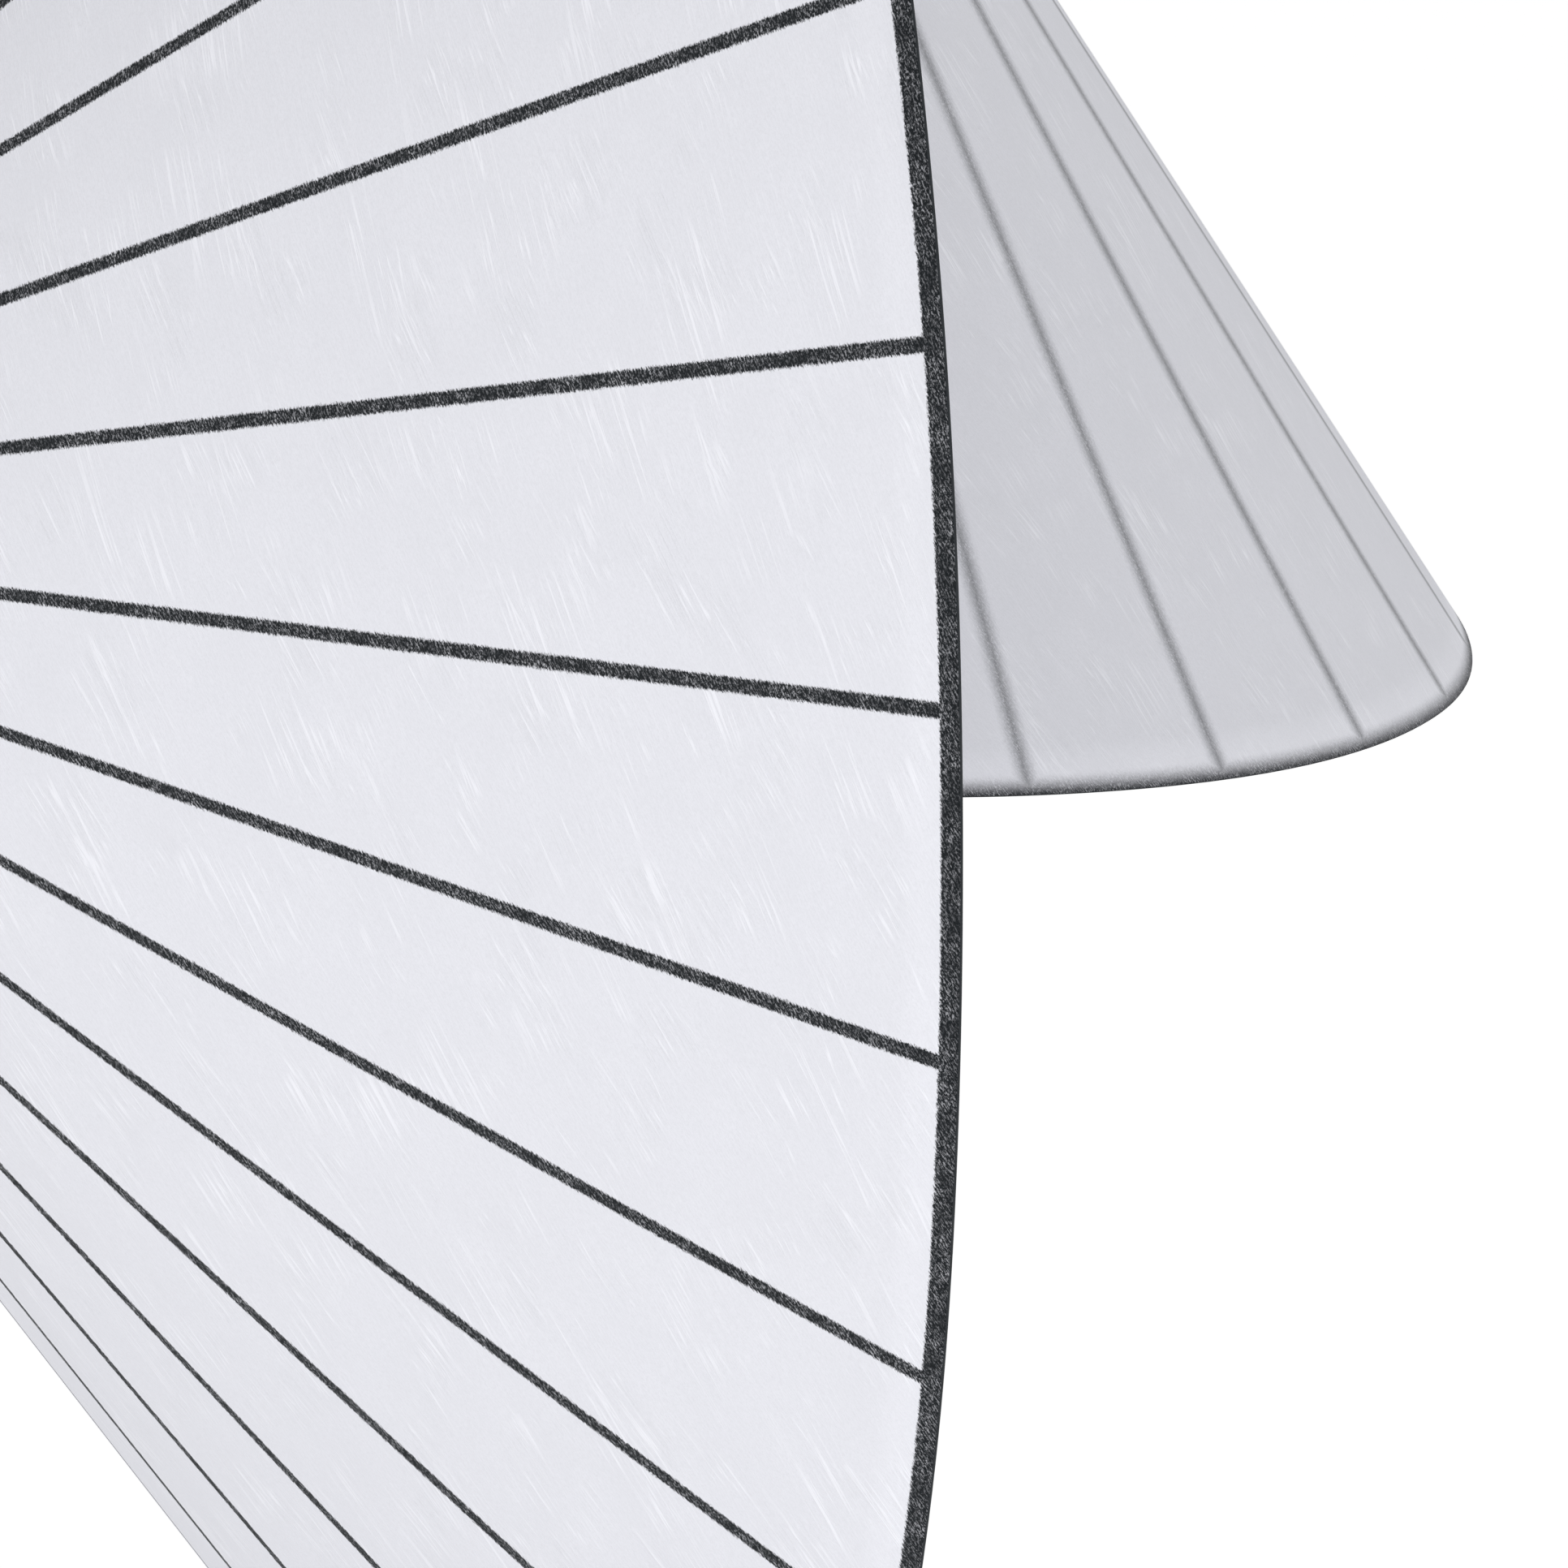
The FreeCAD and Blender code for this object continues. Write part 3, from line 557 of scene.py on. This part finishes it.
class LANTERN_OT_stage(bpy.types.Operator):
    """Set up the camera, the floor and the room's light"""

    bl_idname = "lantern.stage"
    bl_label = "Stage"

    def execute(self, context):
        stage = context.scene.lantern_stage
        flat = math.cos(stage.height)
        away = Vector(
            (flat * math.cos(stage.bearing), flat * math.sin(stage.bearing), math.sin(stage.height))
        )
        level = (-away).cross(Vector((0, 0, 1))).normalized()
        upright = level.cross(-away)
        right = math.cos(stage.roll) * level + math.sin(stage.roll) * upright
        above = right.cross(-away)
        camera = bpy.data.objects.new("camera", bpy.data.cameras.new("camera"))
        camera.matrix_world = Matrix((right, above, away)).transposed().to_4x4()
        camera.location = Vector(stage.place)
        camera.data.sensor_width = SENSOR_WIDTH
        camera.data.lens = stage.lens
        camera.data.clip_end = CLIP_END
        context.scene.collection.objects.link(camera)
        context.scene.camera = camera

        floor = new_piece("floor", lambda shape: bmesh.ops.create_grid(
            shape, x_segments=1, y_segments=1, size=stage.floor_size / 2
        ), Matrix.Translation((0, 0, -stage.floor_drop)))
        tree = Tree("floor")
        speckle = tree.noise(tree.own(), 40, 3.0)
        out = tree.add("VectorMath", {"operation": "LENGTH"}, Vector=tree.own()).outputs["Value"]
        glow = tree.step(out, GLOW_START, GLOW_END, NEAR_GLOW * stage.floor_glow, stage.floor_glow)
        tone = tree.blend(speckle, stage.floor_tone, toned(stage.floor_tone, 0.99))
        tree.surface(Base_Color=tone, Roughness=0.9, Emission_Color=(1.0, 1.0, 1.0),
                     Emission_Strength=glow)
        dress(floor, tree.material)

        world = bpy.data.worlds.new("room")
        context.scene.world = world
        world.use_nodes = True
        back = world.node_tree.nodes["Background"]
        back.inputs["Color"].default_value = (1.0, 1.0, 1.0, 1.0)
        back.inputs["Strength"].default_value = stage.sky

        for name in ("key", "fill"):
            lamp = bpy.data.objects.new(name + "_light", bpy.data.lights.new(name + "_light", "AREA"))
            lamp.data.shape = "DISK"
            lamp.data.size = stage.light_size
            lamp.data.energy = getattr(stage, name + "_power")
            lamp.location = Vector(getattr(stage, name + "_place"))
            aim = Vector(LIT_POINT) - lamp.location
            lamp.rotation_euler = aim.to_track_quat("-Z", "Y").to_euler()
            context.scene.collection.objects.link(lamp)
        context.scene.view_settings.view_transform = "Standard"
        return {"FINISHED"}


class LANTERN_OT_shades(bpy.types.Operator):
    """Cut, print and roll both shades' sheets"""

    bl_idname = "lantern.shades"
    bl_label = "Shades"

    def execute(self, context):
        sheet = context.scene.lantern_sheet
        cut_edge = Tree("inked_cut_edge")
        cut_edge.surface(Roughness=0.85, Base_Color=cut_edge.blend(
            cut_edge.noise(cut_edge.own(), 2500, 2.0), sheet.ink, toned(sheet.ink, CUT_EDGE_TONE)
        ))
        for shade in SHADES:
            gores, seam, hem, soft, strength = (
                getattr(sheet, f"{shade}_{part}") for part in ("gores", "seam", "hem", "soft", "strength")
            )
            sector = gores * sheet.gore
            piece = new_piece(
                "sheet_" + shade, lambda shape: roll_up(shape, sheet, sector, seam), hanging(shade)
            )
            dress(piece, printed_sheet("printed_sheet_" + shade, sheet, sector, hem, soft, strength))
            piece.data.materials.append(cut_edge.material)
            wall = piece.modifiers.new("Sheet", "SOLIDIFY")
            wall.thickness = sheet.thickness
            wall.offset = 0
            wall.material_offset_rim = 1
            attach(piece, "shade_" + shade)
            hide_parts("shade_" + shade)
            sine = sector / math.tau
            first = sheet.hole / sine
            area = sector / 2 * (sheet.slant ** 2 - first ** 2)
            area += sheet.lap * (sheet.slant - sheet.lap_start / sine)
        return {"FINISHED"}


class LANTERN_OT_globes(bpy.types.Operator):
    """Blow the bulbs' opal globes"""

    bl_idname = "lantern.globes"
    bl_label = "Globes"

    def execute(self, context):
        glass = opal_glass("opal_glass", context.scene.lantern_finish.opal)
        for shade in SHADES:
            placed = hanging(shade)
            inverse = placed.inverted()
            node = frame["nodes"]["bulb_globe_" + shade]
            heights = [(inverse @ v.co).z for v in node.data.vertices]
            widths = [(inverse @ v.co).xy.length for v in node.data.vertices]
            foot, top, radius = min(heights), max(heights), max(widths)
            outline = arc((0, foot + radius), radius, -90, ROUND_END, ROUND_STEPS)
            join = outline[-1]
            pull = (join[0] - CURVE_IN, join[1] + CURVE_UP)
            rise = curve(join, pull, (NECK, top - NECK_LENGTH), CURVE_STEPS)
            outline = [(0, foot)] + outline[1:] + rise + [(NECK, top), (0, top)]
            piece = new_piece("globe_" + shade, lambda shape: spun(shape, outline), placed)
            dress(piece, glass)
            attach(piece, "bulb_" + shade)
            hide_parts("bulb_globe_" + shade)
        return {"FINISHED"}


class LANTERN_OT_fittings(bpy.types.Operator):
    """Round over the edges of the frame, the knuckles and the lampholders, and finish them"""

    bl_idname = "lantern.fittings"
    bl_label = "Fittings"

    def execute(self, context):
        finish = context.scene.lantern_finish
        materials = {
            "frame_paint": powder_coat("powder_coat", finish.frame_paint),
            "zinc_steel": bare_metal("zinc_plate", finish.zinc, 0.38),
            "plain_steel": bare_metal("bare_steel", finish.steel, 0.3),
            "holder_plastic": moulded("holder_moulding", finish.moulding),
            "terminal_plastic": moulded("terminal_moulding", finish.terminal, 0.5),
            "contact_brass": bare_metal("contact_brass", finish.brass, 0.28),
            "rivet_metal": powder_coat("rivet_paint", finish.frame_paint, 0.42),
            "bulb_cap": bare_metal("bulb_shell", finish.bulb_metal, 0.26, (1, 1, 1), 500),
        }
        slots = {part["node"]: part["material_slot"] for part in frame["record"]["subparts"]}
        bodies = frame["record"]["behaviour"]["bodies"]
        body_of = {node: body for body, nodes in bodies.items() for node in nodes}
        for node, slot in slots.items():
            if slot in materials:
                dress(frame["nodes"][node], materials[slot])
        for stem, width in ROUNDED.items():
            for node in (stem, *(f"{stem}_{shade}" for shade in SHADES)):
                if node in slots:
                    rounded_copy(node, body_of[node], width, materials[slots[node]])
        return {"FINISHED"}


class LANTERN_PT_panel(bpy.types.Panel):
    """The lantern's steps and settings, in the sidebar"""

    bl_label = "Pendant Lantern"
    bl_space_type = "VIEW_3D"
    bl_region_type = "UI"
    bl_category = "Lantern"

    def draw(self, context):
        for step in STEPS:
            self.layout.operator(step.bl_idname)
        for name in ("lantern_sheet", "lantern_finish", "lantern_stage"):
            settings = getattr(context.scene, name)
            box = self.layout.box()
            for key in settings.bl_rna.properties.keys():
                if key not in ("rna_type", "name"):
                    box.prop(settings, key)


STEPS = (LANTERN_OT_stage, LANTERN_OT_shades, LANTERN_OT_globes, LANTERN_OT_fittings)
SETTINGS = {
    "lantern_sheet": LanternSheetSettings,
    "lantern_finish": LanternFinishSettings,
    "lantern_stage": LanternStageSettings,
}


def register():
    """Registers the settings, the operators and the panel."""
    for name, group in SETTINGS.items():
        bpy.utils.register_class(group)
        setattr(bpy.types.Scene, name, PointerProperty(type=group))
    for step in (*STEPS, LANTERN_PT_panel):
        bpy.utils.register_class(step)


def unregister():
    """Removes what register added."""
    for step in reversed((*STEPS, LANTERN_PT_panel)):
        bpy.utils.unregister_class(step)
    for name, group in SETTINGS.items():
        delattr(bpy.types.Scene, name)
        bpy.utils.unregister_class(group)


def main():
    """Makes everything, in order."""
    register()
    bpy.ops.lantern.stage()
    bpy.ops.lantern.shades()
    bpy.ops.lantern.globes()
    bpy.ops.lantern.fittings()


if __name__ == "__main__":
    main()
